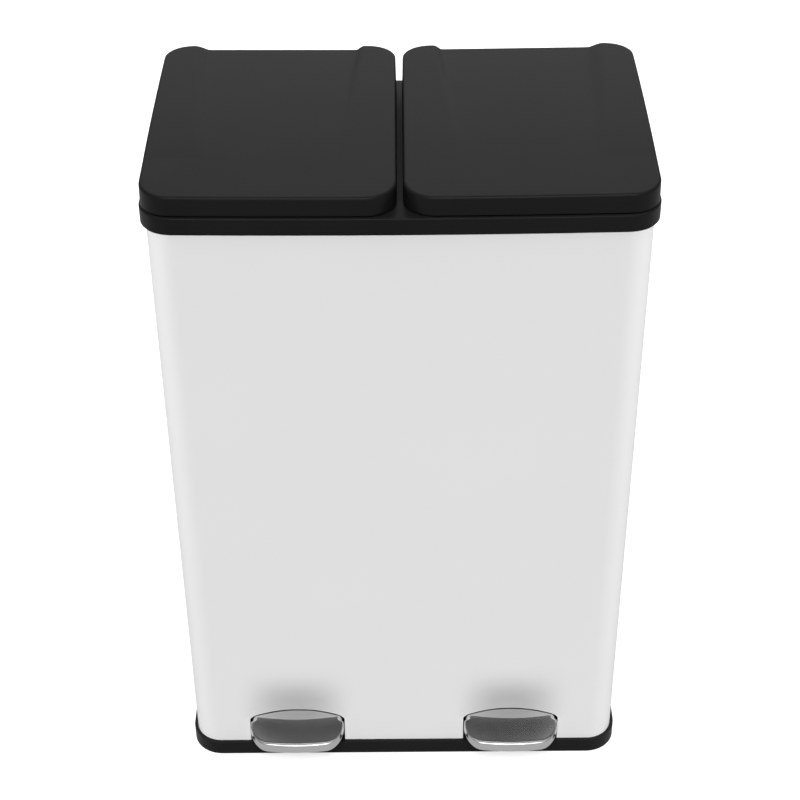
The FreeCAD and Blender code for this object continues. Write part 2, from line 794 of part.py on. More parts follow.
def bent_wire(points, bends, radius):
    # Round wire along straight runs joined by tangent arcs; the route lies in one level plane.
    edges = []
    start = points[0]
    for corner, after, bend in zip(points[1:-1], points[2:], bends):
        before = start.sub(corner).normalize()
        ahead = after.sub(corner).normalize()
        half_turn = (math.pi - before.getAngle(ahead)) / 2
        leg = bend * math.tan(half_turn)
        first = corner + before * leg
        last = corner + ahead * leg
        bulge = (before + ahead).normalize() * (bend / math.cos(half_turn) - bend)
        edges.append(Part.makeLine(start, first))
        edges.append(Part.Arc(first, corner + bulge, last).toShape())
        start = last
    edges.append(Part.makeLine(start, points[-1]))
    way = points[1].sub(points[0]).normalize()
    ring = Part.Wire(Part.makeCircle(radius, points[0], way))
    return Part.Wire(edges).makePipeShell([ring], True, False)


def make_bail():
    # One wire: stubs through the ears, legs forward over the flange, and a cross run at the front.
    inset = bail_ear - flange_width + ear_gap + bail_radius
    stub = flange_width - rest_gap
    x0, x1 = bucket_x0 + inset, bucket_x1 - inset
    y1 = bucket_y0 + inset
    corner = bucket_corner - inset
    points = [V(bucket_x0 - stub, bail_y, bail_z), V(x0, bail_y, bail_z), V(x0, y1, bail_z),
              V(x1, y1, bail_z), V(x1, bail_y, bail_z), V(bucket_x1 + stub, bail_y, bail_z)]
    return bent_wire(points, [bail_bend, corner, corner, bail_bend], bail_radius)


# ---------------------------------------------------------------- export

def main():
    os.makedirs("parts", exist_ok=True)
    single = {
        "casing": make_casing(),
        "base_tray": make_base_tray(),
        "rim_frame": make_rim_frame(),
        "foot_pads": make_foot_pads(),
        "lever_pads": make_lever_pads(),
        "guide_rivets": make_guide_rivets(),
        "axle_clips": make_axle_clips(),
        "bracket_screws": make_bracket_screws(),
    }
    handed = {
        "lid": make_lid(),
        "lid_bumpers": make_lid_bumpers(),
        "link_pin": make_link_pin(),
        "hinge_pins": make_hinge_pins(),
        "rod_eye": make_rod_eye(),
        "lift_rod": make_lift_rod(),
        "rod_guide": make_rod_guide(),
        "pedal_tread": make_pedal_tread(),
        "tread_rivets": make_tread_rivets(),
        "pedal_lever": make_pedal_lever(),
        "pivot_bush": make_pivot_bush(),
        "pedal_bracket": make_pedal_bracket(),
        "pedal_axle": make_pedal_axle(),
        "bucket": make_bucket(),
        "bail": make_bail(),
    }
    nodes = dict(single)
    for name, shape in handed.items():
        nodes[name + "_right"] = shape
        nodes[name + "_left"] = mirrored(shape)
    for name, shape in sorted(nodes.items()):
        shape.exportStep("parts/" + name + ".step")
        size = shape.optimalBoundingBox()
        print("%-22s solids %d volume %9.0f box %s" % (
            name, len(shape.Solids), shape.Volume,
            [round(v, 2) for v in (size.XMin, size.XMax, size.YMin, size.YMax, size.ZMin, size.ZMax)]))
    reach = rod_y - axle_y
    rise = lever_top_z - pivot_z
    turn = math.radians(8)
    for step in range(20):
        lift = reach * math.tan(turn) + rise * (1 / math.cos(turn) - 1)
        turn -= (lift - rod_travel) / (reach / math.cos(turn) ** 2)
    print("lid hinge y z", round(hinge_y, 3), hinge_z, "pedal axle y z", axle_y, pivot_z)
    print("rod x y", station_x, round(rod_y, 3), "link y z", round(link_y, 3), link_z)
    print("pedal turn deg", round(math.degrees(turn), 4), "rod m per rad of lid",
          round(rod_travel / 1000 / math.radians(lid_open_deg), 6),
          "pedal per lid", round(math.degrees(turn) / lid_open_deg, 6))


main()
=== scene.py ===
import bmesh
import bpy
import json
import math
import numpy as np
from mathutils import Matrix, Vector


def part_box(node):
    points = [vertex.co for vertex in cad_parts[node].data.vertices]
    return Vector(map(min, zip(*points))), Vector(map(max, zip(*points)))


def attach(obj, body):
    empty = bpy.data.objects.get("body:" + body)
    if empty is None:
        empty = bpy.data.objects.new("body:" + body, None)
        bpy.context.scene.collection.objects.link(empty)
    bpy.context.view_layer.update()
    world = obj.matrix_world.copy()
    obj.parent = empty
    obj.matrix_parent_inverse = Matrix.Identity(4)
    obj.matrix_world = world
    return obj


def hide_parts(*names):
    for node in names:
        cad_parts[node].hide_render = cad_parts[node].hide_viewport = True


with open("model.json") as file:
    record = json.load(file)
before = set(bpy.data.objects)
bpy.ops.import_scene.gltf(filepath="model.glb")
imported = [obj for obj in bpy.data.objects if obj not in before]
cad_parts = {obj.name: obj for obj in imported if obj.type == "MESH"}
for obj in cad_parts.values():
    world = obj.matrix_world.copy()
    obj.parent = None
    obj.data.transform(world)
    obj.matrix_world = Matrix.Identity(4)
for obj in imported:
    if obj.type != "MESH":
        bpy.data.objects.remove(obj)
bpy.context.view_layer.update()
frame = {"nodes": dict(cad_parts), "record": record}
print("frame:", len(frame["nodes"]), "nodes")

# Shapes are worked out in millimetres, in the frame's own axes, and a mesh is given its points in metres.
millimetre = 0.001
hair = 0.01                  # lengths that differ by less count as the same
mergeDistance = 0.000001     # doubles in a mesh, in metres
sharpAngle = math.radians(32)


def nodeBox(name):
    # Lowest and highest corner of a CAD node, in millimetres.
    low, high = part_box(name)
    return np.array(low) / millimetre, np.array(high) / millimetre


def spaced(knots, steps):
    # Values from the first knot to the last, evenly spaced between knots, about one step apart.
    runs = []
    for start, end, step in zip(knots, knots[1:], steps):
        count = max(1, round(abs(end - start) / step))
        runs.append(np.linspace(start, end, count, endpoint=False))
    return np.concatenate(runs + [[knots[-1]]])


def smoothStep(t):
    # 0 below 0, 1 above 1, and 3t^2 - 2t^3 between.
    t = np.clip(t, 0.0, 1.0)
    return t * t * (3 - 2 * t)


def planRing(x0, x1, y0, y1, corner, straightX, straightY, cornerSteps):
    # Outline of a rectangle with quarter circles at its corners, as points and inward normals, in the
    # order front, right, back, left. straightX holds the straights' x in front and behind.
    quarter = np.linspace(0, math.pi / 2, 2 * cornerSteps + 1)[1:-1]
    sine, cosine = np.sin(quarter), np.cos(quarter)
    frontX, backX = straightX
    runs = [
        (frontX, np.full(len(frontX), y0), 0 * frontX, 0 * frontX + 1),
        (x1 - corner + corner * sine, y0 + corner - corner * cosine, -sine, cosine),
        (np.full(len(straightY), x1), straightY, 0 * straightY - 1, 0 * straightY),
        (x1 - corner + corner * cosine, y1 - corner + corner * sine, -cosine, -sine),
        (backX[::-1], np.full(len(backX), y1), 0 * backX, 0 * backX - 1),
        (x0 + corner - corner * sine, y1 - corner + corner * cosine, sine, -cosine),
        (np.full(len(straightY), x0), straightY[::-1], 0 * straightY + 1, 0 * straightY),
        (x0 + corner - corner * cosine, y0 + corner - corner * sine, cosine, sine),
    ]
    return np.concatenate([np.column_stack(run) for run in runs])


def gridFaces(rows, columns, closed):
    # Quads between neighbouring points of a grid; closed joins the last column to the first.
    span = columns if closed else columns - 1
    row, column = np.meshgrid(np.arange(rows - 1), np.arange(span), indexing="ij")
    after = (column + 1) % columns
    corners = [row * columns + column, row * columns + after,
               (row + 1) * columns + after, (row + 1) * columns + column]
    return np.stack(corners, axis=-1).reshape(-1, 4)


class Sheets:
    # Gathers grids and closed prisms of one piece: their points, their quads, and the prisms' flat ends.
    def __init__(self):
        self.points, self.quads, self.ends, self.count = [], [], [], 0

    def add(self, points, quads, ends=()):
        points = np.asarray(points, float).reshape(-1, 3)
        self.points.append(points)
        self.quads.append(quads + self.count)
        self.ends += [(end + self.count).tolist() for end in ends]
        self.count += len(points)

    def mirrored(self, side):
        # The same with X turned over where side is -1; asMesh turns the faces back.
        turned = Sheets()
        turned.points = [points * (side, 1.0, 1.0) for points in self.points]
        turned.quads, turned.ends, turned.count = self.quads, self.ends, self.count
        return turned

    def asMesh(self, name):
        # One mesh in metres, with its doubles merged and its faces outwards.
        mesh = bpy.data.meshes.new(name)
        faces = np.concatenate(self.quads).tolist() + self.ends
        mesh.from_pydata(np.concatenate(self.points) * millimetre, [], faces)
        shape = bmesh.new()
        shape.from_mesh(mesh)
        bmesh.ops.remove_doubles(shape, verts=shape.verts, dist=mergeDistance)
        bmesh.ops.recalc_face_normals(shape, faces=shape.faces)
        shape.to_mesh(mesh)
        shape.free()
        return mesh

    def grid(self, points, closed=False, keep=None):
        # points has rows x columns x 3; keep says which of its quads stay.
        rows, columns = points.shape[:2]
        faces = gridFaces(rows, columns, closed)
        if keep is not None:
            faces = faces[keep.reshape(-1)]
        self.add(points, faces)

    def prism(self, outline, low, high, axis=0):
        # Closed bar along an axis: the outline's points at low and at high, joined, with flat ends.
        outline = np.asarray(outline, float)
        size = len(outline)
        ends = [np.insert(outline, axis, place, axis=1) for place in (low, high)]
        corners = np.arange(size)
        self.add(np.concatenate(ends), gridFaces(2, size, True), [corners, corners[::-1] + size])


def makePiece(name, sheets, body, slot, replaced, wall=0.0, cutters=None, extras=None):
    # Mesh object at the origin, given its wall, cut, and joined by its fittings.
    piece = linked(name, sheets.asMesh(name))
    if wall:
        thicken = piece.modifiers.new("wall", "SOLIDIFY")
        thicken.thickness = wall * millimetre
        thicken.offset = -1
        thicken.use_even_offset = True
    if cutters:
        tool = linked("cutter", cutters.asMesh("cutter"))
        cut = piece.modifiers.new("cut", "BOOLEAN")
        cut.operation, cut.solver, cut.object = "DIFFERENCE", "EXACT", tool
    applyModifiers(piece)
    if cutters:
        bpy.data.objects.remove(tool)
    if extras:
        join(piece.data, extras.asMesh("fittings"))
    return settle(piece, slot, body, replaced)


def settle(piece, slot, body, replaced):
    # Shading, finish, and the body that the piece rides on.
    shadeByAngle(piece.data)
    piece.data.materials.clear()
    piece.data.materials.append(finishes[slot])
    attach(piece, body)
    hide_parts(*replaced)
    print("piece:", piece.name, len(piece.data.polygons), "faces")
    return piece


def linked(name, content):
    # Object at the origin that holds a mesh, a lamp or a camera.
    item = bpy.data.objects.new(name, content)
    bpy.context.scene.collection.objects.link(item)
    return item


def applyModifiers(piece):
    # Its mesh becomes what the modifiers make of it.
    graph = bpy.context.evaluated_depsgraph_get()
    mesh = bpy.data.meshes.new_from_object(piece.evaluated_get(graph))
    piece.modifiers.clear()
    piece.data = mesh


def join(mesh, other):
    # Adds closed plates and posts to a finished shell.
    shape = bmesh.new()
    shape.from_mesh(mesh)
    shape.from_mesh(other)
    shape.to_mesh(mesh)
    shape.free()


def shadeByAngle(mesh):
    # Smooth faces, with edges sharper than sharpAngle left crisp.
    shape = bmesh.new()
    shape.from_mesh(mesh)
    for face in shape.faces:
        face.smooth = True
    for edge in shape.edges:
        edge.smooth = len(edge.link_faces) == 2 and edge.calc_face_angle(0.0) < sharpAngle
    shape.to_mesh(mesh)
    shape.free()


# Shader arithmetic: + - * on a Wire add Math nodes, and add() makes any other node.
class Wire:
    def __init__(self, tree, socket=None):
        self.tree, self.socket = tree, socket

    def add(self, kind, settings=None, sockets=None, output=0):
        # Node of a kind: its settings are set first, then its sockets get values or links.
        node = self.tree.nodes.new(kind)
        for name, value in (settings or {}).items():
            setattr(node, name, value)
        for name, value in (sockets or {}).items():
            if isinstance(value, Wire):
                self.tree.links.new(value.socket, node.inputs[name])
            else:
                node.inputs[name].default_value = value
        return Wire(self.tree, node.outputs[output])

    def math(self, operation, first, second=0.0):
        return self.add("ShaderNodeMath", {"operation": operation}, {0: first, 1: second})

    def __add__(self, other):
        return self.math("ADD", self, other)

    def __radd__(self, other):
        return self.math("ADD", other, self)

    def __sub__(self, other):
        return self.math("SUBTRACT", self, other)

    def __rsub__(self, other):
        return self.math("SUBTRACT", other, self)

    def __mul__(self, other):
        return self.math("MULTIPLY", self, other)

    def __rmul__(self, other):
        return self.math("MULTIPLY", other, self)

    def blend(self, first, second):
        # Colour mix: first where this wire is 0, second where it is 1.
        return self.add("ShaderNodeMix", {"data_type": "RGBA"}, {0: self, 6: first, 7: second}, output=2)

    def noise(self, scale, detail=2.0, stretch=(1.0, 1.0, 1.0)):
        # Noise on Object coordinates, in metres: a scale of 500 has features about 2 mm wide.
        here = self.add("ShaderNodeTexCoord", output=3)
        stretched = self.add("ShaderNodeMapping", {}, {"Vector": here, "Scale": stretch})
        return self.add("ShaderNodeTexNoise", {}, {"Vector": stretched, "Scale": scale, "Detail": detail})

    def ramp(self, low, high):
        # 0 below low, 1 above high.
        return self.add("ShaderNodeMapRange", {}, {"Value": self, "From Min": low, "From Max": high})

    def twoTone(self, edges, first, second):
        # Colour that goes from first to second while this wire goes from the one edge to the other.
        return self.ramp(*edges).blend(first, second)

    def bump(self, distance, strength):
        # Surface normal from this wire as a height; distance is in metres.
        return self.add("ShaderNodeBump", {}, {"Height": self, "Distance": distance, "Strength": strength})


def newFinish(name, constants):
    # Material with its constants set on the shader; returns it with its shader and a Wire to build from.
    finish = bpy.data.materials.new(name)
    finish.use_nodes = True
    tree = finish.node_tree
    shader = tree.nodes["Principled BSDF"]
    for socket, value in constants.items():
        shader.inputs[socket].default_value = value
    return finish, shader, Wire(tree)


def feed(shader, wires):
    # Links each wire to the shader's socket of that name.
    for socket, wire in wires.items():
        wire.tree.links.new(wire.socket, shader.inputs[socket])


def grey(value, warm=0.0):
    # Even colour, with warm added to its red and taken from its blue as a share.
    return (value * (1 + warm), value, value * (1 - warm), 1.0)


casingPaintLook = {
    "tone": 0.80,
    "toneSpread": 0.008,
    "toneEdges": (0.3, 0.7),
    "roughness": 0.40,
    "roughnessSpread": 0.05,
    "specular": 0.45,
    "driftScale": 9.0,       # slow drift of tone and gloss, about 11 cm
    "peelScale": 420.0,      # orange peel, features about 2.4 mm
    "peelHeight": 0.00002,
    "peelStrength": 0.5,
}


def casingPaint():
    # Drift moves tone and gloss a little, and fine orange peel bumps the surface.
    look = casingPaintLook
    finish, shader, wire = newFinish("casingPaint", {"Specular IOR Level": look["specular"]})
    drift = wire.noise(look["driftScale"], 3.0)
    peel = wire.noise(look["peelScale"])
    dark = grey(look["tone"] - look["toneSpread"])
    feed(shader, {
        "Base Color": drift.twoTone(look["toneEdges"], dark, grey(look["tone"])),
        "Roughness": look["roughness"] + (drift - 0.5) * look["roughnessSpread"],
        "Normal": peel.bump(look["peelHeight"], look["peelStrength"]),
    })
    return finish


blackPlasticLook = {
    "tone": 0.0064,
    "toneSpread": 0.0012,
    "toneEdges": (0.35, 0.65),
    "roughness": 0.40,
    "roughnessSpread": 0.06,
    "specular": 0.12,
    "driftScale": 14.0,
    "grainScale": 1500.0,    # spark-eroded grain, about 0.7 mm
    "grainHeight": 0.00003,
    "grainStrength": 0.6,
}
bucketPlasticLook = {
    "tone": 0.030,
    "toneSpread": 0.006,
    "toneEdges": (0.35, 0.65),
    "roughness": 0.46,
    "roughnessSpread": 0.15,
    "specular": 0.4,
    "driftScale": 20.0,
    "grainScale": 900.0,     # about 1.1 mm
    "grainHeight": 0.00003,
    "grainStrength": 0.5,
}


def mouldedPlastic(name, look):
    # Drift moves tone and gloss a little, and the mould's grain bumps the surface.
    finish, shader, wire = newFinish(name, {"Specular IOR Level": look["specular"]})
    drift = wire.noise(look["driftScale"], 4.0)
    grain = wire.noise(look["grainScale"], 3.0)
    pale = grey(look["tone"] + look["toneSpread"])
    feed(shader, {
        "Base Color": drift.twoTone(look["toneEdges"], grey(look["tone"]), pale),
        "Roughness": look["roughness"] + (drift - 0.5) * look["roughnessSpread"],
        "Normal": grain.bump(look["grainHeight"], look["grainStrength"]),
    })
    return finish


pedalSteelLook = {
    "tone": 0.72,
    "toneSpread": 0.03,
    "toneEdges": (0.3, 0.7),
    "roughness": 0.17,
    "smearScale": 14.0,      # wiped patches, about 7 cm
    "smearGain": 0.03,       # added to the roughness by the smears, and by the lines
    "lineGain": 0.03,
    "lineScale": 26.0,       # brushed lines along X
    "lineStretch": (1.0, 20.0, 20.0),
    "lineHeight": 0.000001,
    "lineStrength": 0.2,
}


def pedalSteel():
    # Brushed lines move tone, gloss and the surface, and smears dull it in places.
    look = pedalSteelLook
    finish, shader, wire = newFinish("pedalSteel", {"Metallic": 1.0})
    lines = wire.noise(look["lineScale"], 3.0, look["lineStretch"])
    smear = wire.noise(look["smearScale"]).ramp(*look["toneEdges"])
    dark = grey(look["tone"] - look["toneSpread"])
    feed(shader, {
        "Base Color": lines.twoTone(look["toneEdges"], dark, grey(look["tone"])),
        "Roughness": look["roughness"] + smear * look["smearGain"] + lines * look["lineGain"],
        "Normal": lines.bump(look["lineHeight"], look["lineStrength"]),
    })
    return finish


platedSteelLook = {
    "tone": 0.58,
    "toneSpread": 0.10,
    "toneEdges": (0.35, 0.65),
    "coolness": 0.01,        # of the darker patches
    "roughness": 0.30,
    "roughnessGain": 0.14,
    "roughnessEdges": (0.3, 0.7),
    "spangleScale": 160.0,   # zinc patches, about 6 mm
    "fineScale": 1200.0,
    "fineHeight": 0.00001,
    "fineStrength": 0.4,
}


def platedSteel():
    # Zinc patches move tone and gloss, and a fine noise bumps the surface.
    look = platedSteelLook
    finish, shader, wire = newFinish("platedSteel", {"Metallic": 1.0})
    spangle = wire.noise(look["spangleScale"])
    fine = wire.noise(look["fineScale"])
    dark = grey(look["tone"] - look["toneSpread"], -look["coolness"])
    feed(shader, {
        "Base Color": spangle.twoTone(look["toneEdges"], dark, grey(look["tone"])),
        "Roughness": look["roughness"] + spangle.ramp(*look["roughnessEdges"]) * look["roughnessGain"],
        "Normal": fine.bump(look["fineHeight"], look["fineStrength"]),
    })
    return finish


naturalNylonLook = {
    "dark": (0.66, 0.64, 0.58, 1.0),
    "pale": (0.72, 0.70, 0.65, 1.0),
    "toneEdges": (0.3, 0.7),
    "roughness": 0.42,
    "roughnessGain": 0.12,
    "specular": 0.5,
    "cloudScale": 120.0,     # clouds of about 8 mm
    "cloudDetail": 3.0,
    "grainScale": 1100.0,
    "grainDetail": 2.0,
    "grainHeight": 0.00002,
    "grainStrength": 0.4,
}
footRubberLook = {
    "dark": grey(0.016),
    "pale": grey(0.03),      # where dust sits
    "toneEdges": (0.45, 0.75),
    "roughness": 0.72,
    "roughnessGain": 0.16,
    "specular": 0.3,
    "cloudScale": 200.0,     # dust in patches of about 5 mm
    "cloudDetail": 4.0,
    "grainScale": 900.0,
    "grainDetail": 3.0,
    "grainHeight": 0.00005,
    "grainStrength": 0.5,
}


def clouded(name, look):
    # Clouds go from the dark colour to the pale one and dull the surface, and a grain bumps it.
    finish, shader, wire = newFinish(name, {"Specular IOR Level": look["specular"]})
    cloud = wire.noise(look["cloudScale"], look["cloudDetail"])
    grain = wire.noise(look["grainScale"], look["grainDetail"])
    feed(shader, {
        "Base Color": cloud.twoTone(look["toneEdges"], look["dark"], look["pale"]),
        "Roughness": look["roughness"] + cloud * look["roughnessGain"],
        "Normal": grain.bump(look["grainHeight"], look["grainStrength"]),
    })
    return finish


finishes = {
    "casing_paint": casingPaint(),
    "black_plastic": mouldedPlastic("blackPlastic", blackPlasticLook),
    "pedal_steel": pedalSteel(),
    "plated_steel": platedSteel(),
    "bucket_plastic": mouldedPlastic("bucketPlastic", bucketPlasticLook),
    "natural_nylon": clouded("naturalNylon", naturalNylonLook),
    "foot_rubber": clouded("footRubber", footRubberLook),
}
slotOf = {part["node"]: part["material_slot"] for part in frame["record"]["subparts"]}
for nodeName, nodeObject in frame["nodes"].items():
    for holder in nodeObject.material_slots:
        holder.material = finishes[slotOf[nodeName]]
print("finishes:", len(finishes))

sides = {"right": 1.0, "left": -1.0}
casingLow, casingHigh = nodeBox("casing")
treadLow, treadHigh = nodeBox("pedal_tread_right")
lidLow, lidHigh = nodeBox("lid_right")
rimLow, rimHigh = nodeBox("rim_frame")
stationX = (treadLow[0] + treadHigh[0]) / 2


# The casing: a ring of columns round the bin, carried up through rows of height.
casingForm = {
    "corner": 26.0,
    "cornerSteps": 8,
    "sheet": 0.8,
    "dentSlope": 0.275,      # toe dent above the pedal: its slope
    "dentEven": 64.0,        # up to this height the slope is even
    "dentTop": 116.0,        # and from this height on there is no dent
    "dentFoot": (12.0, 46.0),   # below the second height it fades, and is gone at the first
    "dentHalf": 59.0,        # half its width
    "dentPower": 2.4,        # how flat it is across
    "notchGap": 0.8,         # beside the pedal, and above it
    "notchHead": 0.8,
    "notchRound": (9.0, 4.5),   # its upper corners, across and down
    "seamHalf": 6.0,         # lock seam down the back: half its width, its edges' width, its depth
    "seamEdge": 0.8,
    "seamDepth": 0.4,
    "fineStep": 1.6,         # between points round the dents, and half of it near the notches' lines
    "fineReach": 62.0,       # from the pedal's middle
    "nearReach": 5.0,        # from the notches' lines
    "coarseSteps": (8.0, 6.0, 24.0, 16.0),   # front middle, front ends, sides, and upwards
    "backSteps": (20.0, 2.0, 0.8, 3.0),      # towards the seam, beside it, on its edge, within it
}


def dentDepth(x, z):
    # From dentTop down, the depth is the sum of a slope that grows along a half cosine up to dentSlope
    # at dentEven and then stays. Below the upper height of dentFoot the depth stays and fades out to
    # the lower. Across, it is times (1 - u^dentPower)^2, with u from 0 in the middle to 1 at the side.
    form = casingForm
    span = form["dentTop"] - form["dentEven"]
    end, foot = form["dentFoot"]
    fade = smoothStep((z - end) / (foot - end))
    z = np.maximum(z, foot)
    above = np.clip(z - form["dentEven"], 0, span)
    eased = (span - above) / 2 - span / (2 * math.pi) * np.sin(math.pi * above / span)
    u = np.minimum(np.abs(np.abs(x) - stationX) / form["dentHalf"], 1)
    depth = form["dentSlope"] * (eased + np.clip(form["dentEven"] - z, 0, None))
    return depth * fade * (1 - u ** form["dentPower"]) ** 2


def roundNotchCorner(x, z, half, top):
    # Points on the notch's side and top lines, near its square corner, go onto a quarter ellipse.
    wide, tall = casingForm["notchRound"]
    inward = half - np.abs(np.abs(x) - stationX)
    under = top - z
    onTop = (np.abs(under) < hair) & (inward > -hair) & (inward < wide)
    onSide = (np.abs(inward) < hair) & (under > -hair) & (under < tall)
    turn = np.where(onTop, 1 + inward / wide, 1 - under / tall) * math.pi / 4
    moved = onTop | onSide
    newInward = np.where(moved, wide - wide * np.cos(turn), inward)
    newUnder = np.where(moved, tall - tall * np.sin(turn), under)
    outward = np.sign(np.abs(x) - stationX)
    return np.where(moved, np.sign(x) * (stationX + outward * (half - newInward)), x), top - newUnder


def makeCasing():
    # The outline's columns run up through the heights; the front goes in by dentDepth, the back by
    # seamDepth within the seam, and the quads inside the notches are left out.
    form = casingForm
    corner, fine, near, seam = form["corner"], form["fineStep"], form["nearReach"], form["seamHalf"]
    x1, y0, y1 = casingHigh[0], casingLow[1], casingHigh[1]
    half = (treadHigh[0] - treadLow[0]) / 2 + form["notchGap"]
    top = treadHigh[2] + form["notchHead"]
    middleStep, endStep, sideStep, upStep = form["coarseSteps"]
    right = [0, stationX - form["fineReach"], stationX - half - near, stationX - half,
             stationX - half + near, stationX + half - near, stationX + half, stationX + half + near,
             stationX + form["fineReach"], x1 - corner]
    frontX = spaced(right, [middleStep, fine, fine / 2, fine / 2, fine, fine / 2, fine / 2, fine, endStep])
    frontX = np.concatenate([-frontX[:0:-1], frontX])
    backX = spaced([x1 - corner, seam + 2, seam, seam - form["seamEdge"], 0], form["backSteps"])
    backX = np.concatenate([backX, -backX[-2::-1]])[::-1]
    sideY = spaced([y0 + corner, y1 - corner], [sideStep])
    ring = planRing(-x1, x1, y0, y1, corner, (frontX, backX), sideY, form["cornerSteps"])
    heights = spaced([casingLow[2], top - near, top, top + near, form["dentTop"] + 2, casingHigh[2]],
                     [fine, fine / 2, fine / 2, fine, upStep])
    x = np.broadcast_to(ring[:, 0], (len(heights), len(ring))).copy()
    y = np.broadcast_to(ring[:, 1], x.shape).copy()
    z = np.broadcast_to(heights[:, None], x.shape).copy()
    front = y < y0 + hair
    middleX = (x[:-1] + np.roll(x, -1, axis=1)[:-1]) / 2
    middleZ = (z[:-1] + z[1:]) / 2
    inNotch = (np.abs(np.abs(middleX) - stationX) < half) & (middleZ < top) & front[:-1]
    movedX, movedZ = roundNotchCorner(x, z, half, top)
    x, z = np.where(front, movedX, x), np.where(front, movedZ, z)
    y = np.where(front, y + dentDepth(x, z), y)
    inSeam = smoothStep((seam - np.abs(x)) / form["seamEdge"] + 0.001)   # a little past 1 at its inner line
    y = np.where(y > y1 - hair, y - form["seamDepth"] * inSeam, y)
    sheets = Sheets()
    sheets.grid(np.stack([x, y, z], axis=-1), closed=True, keep=~inNotch)
    makePiece("casing_skin", sheets, "shell", "casing_paint", ["casing"], wall=form["sheet"])


makeCasing()


# The top frame: the CAD frame's own shape, a little narrower.
rimForm = {
    "drawIn": 0.8,           # each side moves in by this
    "from": 200.0,           # from here outwards, eased in over easeRun
    "easeRun": 8.0,
    "hemLift": 1.6,          # the skirt's lower edge moves up by this
    "hemRoom": 4.0,          # and what is above it less, up to this height over it
    "skirtRoom": 0.1,        # the skirt is what reaches past the casing by more than minus this
}


def makeRim():
    # A merged copy of the node: x moves in by drawIn, eased in over easeRun, where |x| is past from,
    # and in the skirt each point moves up by hemLift times a share that falls from 1 to 0 over hemRoom.
    mesh = frame["nodes"]["rim_frame"].data.copy()
    shape = bmesh.new()
    shape.from_mesh(mesh)
    bmesh.ops.remove_doubles(shape, verts=shape.verts, dist=mergeDistance)
    shape.to_mesh(mesh)
    shape.free()
    points = np.empty(3 * len(mesh.vertices))
    mesh.vertices.foreach_get("co", points)
    points = points.reshape(-1, 3) / millimetre
    reach = smoothStep((np.abs(points[:, 0]) - rimForm["from"]) / rimForm["easeRun"])
    room = rimForm["skirtRoom"]
    outside = (np.abs(points[:, 0]) > casingHigh[0] - room) | (points[:, 1] < casingLow[1] + room)
    outside |= points[:, 1] > casingHigh[1] - room
    share = np.clip(1 - (points[:, 2] - rimLow[2]) / rimForm["hemRoom"], 0, 1)
    points[:, 2] += rimForm["hemLift"] * share * outside
    points[:, 0] -= np.sign(points[:, 0]) * rimForm["drawIn"] * reach
    mesh.vertices.foreach_set("co", (points * millimetre).reshape(-1))
    rim = settle(linked("rim_skin", mesh), "black_plastic", "shell", ["rim_frame"])
    rim.visible_shadow = False   # the casing is lit right up to its skirt


makeRim()


# Lids and pedals are draped caps: a top given by its height, rounded over into a wall that ends at a hem.
def drapedCap(form, size, columnsAt, rows, warp, heightAt, roundAt, hemAt):
    # Inside, a grid of columns and rows whose height is heightAt. Round it, rings go from the grid's
    # edge straight to the outline, over a quarter circle of radius roundAt, and in even shares down the
    # wall to hemAt, moved out by the wall's bulges. warp moves the whole plan.
    x0, x1, y0, y1 = size
    corner, band, steps = form["corner"], form["band"], form["cornerSteps"]
    ring = planRing(x0, x1, y0, y1, corner, (columnsAt(y0), columnsAt(y1)), rows, steps)
    outline, inward = ring[:, :2], ring[:, 2:]
    innerY = np.concatenate([np.linspace(y0 + band, y0 + corner, steps, endpoint=False), rows,
                             np.linspace(y1 - corner, y1 - band, steps + 1)[1:]])
    grid = []
    for y in innerY:
        middle = columnsAt(y)
        grid.append(np.concatenate([np.linspace(x0 + band, x0 + corner, steps, endpoint=False), middle,
                                    np.linspace(x1 - corner, x1 - band, steps + 1)[1:]]))
    gridX = np.array(grid)
    gridY = np.broadcast_to(innerY[:, None], gridX.shape)
    # The grid's edge as a ring that starts where the outline's front straight starts.
    edge = np.concatenate([
        np.column_stack([gridX[0], gridY[0]]),
        np.column_stack([gridX[1:-1, -1], gridY[1:-1, -1]]),
        np.column_stack([gridX[-1, ::-1], gridY[-1, ::-1]]),
        np.column_stack([gridX[-2:0:-1, 0], gridY[-2:0:-1, 0]]),
    ])
    edge = np.roll(edge, -steps, axis=0)

    def place(plan, z=None):
        moved = warp(plan)
        if z is None:
            z = heightAt(moved[..., 0], moved[..., 1])
        return np.concatenate([moved, z[..., None]], axis=-1)

    sheets = Sheets()
    sheets.grid(place(np.stack([gridX, gridY], axis=-1)))
    edgeTop = place(outline)[:, 2]
    hem = hemAt(place(outline))
    radius = roundAt(warp(outline)[:, 1])
    lean = form["draft"] * (edgeTop - hem)
    topEdge = outline + inward * (radius + lean)[:, None]
    shares = np.linspace(0, 1, form["bandSteps"] + 1)
    rings = [place(edge + (topEdge - edge) * share) for share in shares]
    topLine = rings[-1][:, 2]
    for turn in np.linspace(0, math.pi / 2, form["roundSteps"] + 1)[1:]:
        inset = radius * (1 - math.sin(turn)) + lean
        rings.append(place(outline + inward * inset[:, None], topLine - radius * (1 - math.cos(turn))))
    wallTop = rings[-1][:, 2]
    for share, bulge in form["wall"]:
        inset = lean * (1 - share) - bulge
        rings.append(place(outline + inward * inset[:, None], wallTop + (hem - wallTop) * share))
    sheets.grid(np.array(rings), closed=True)
    return sheets


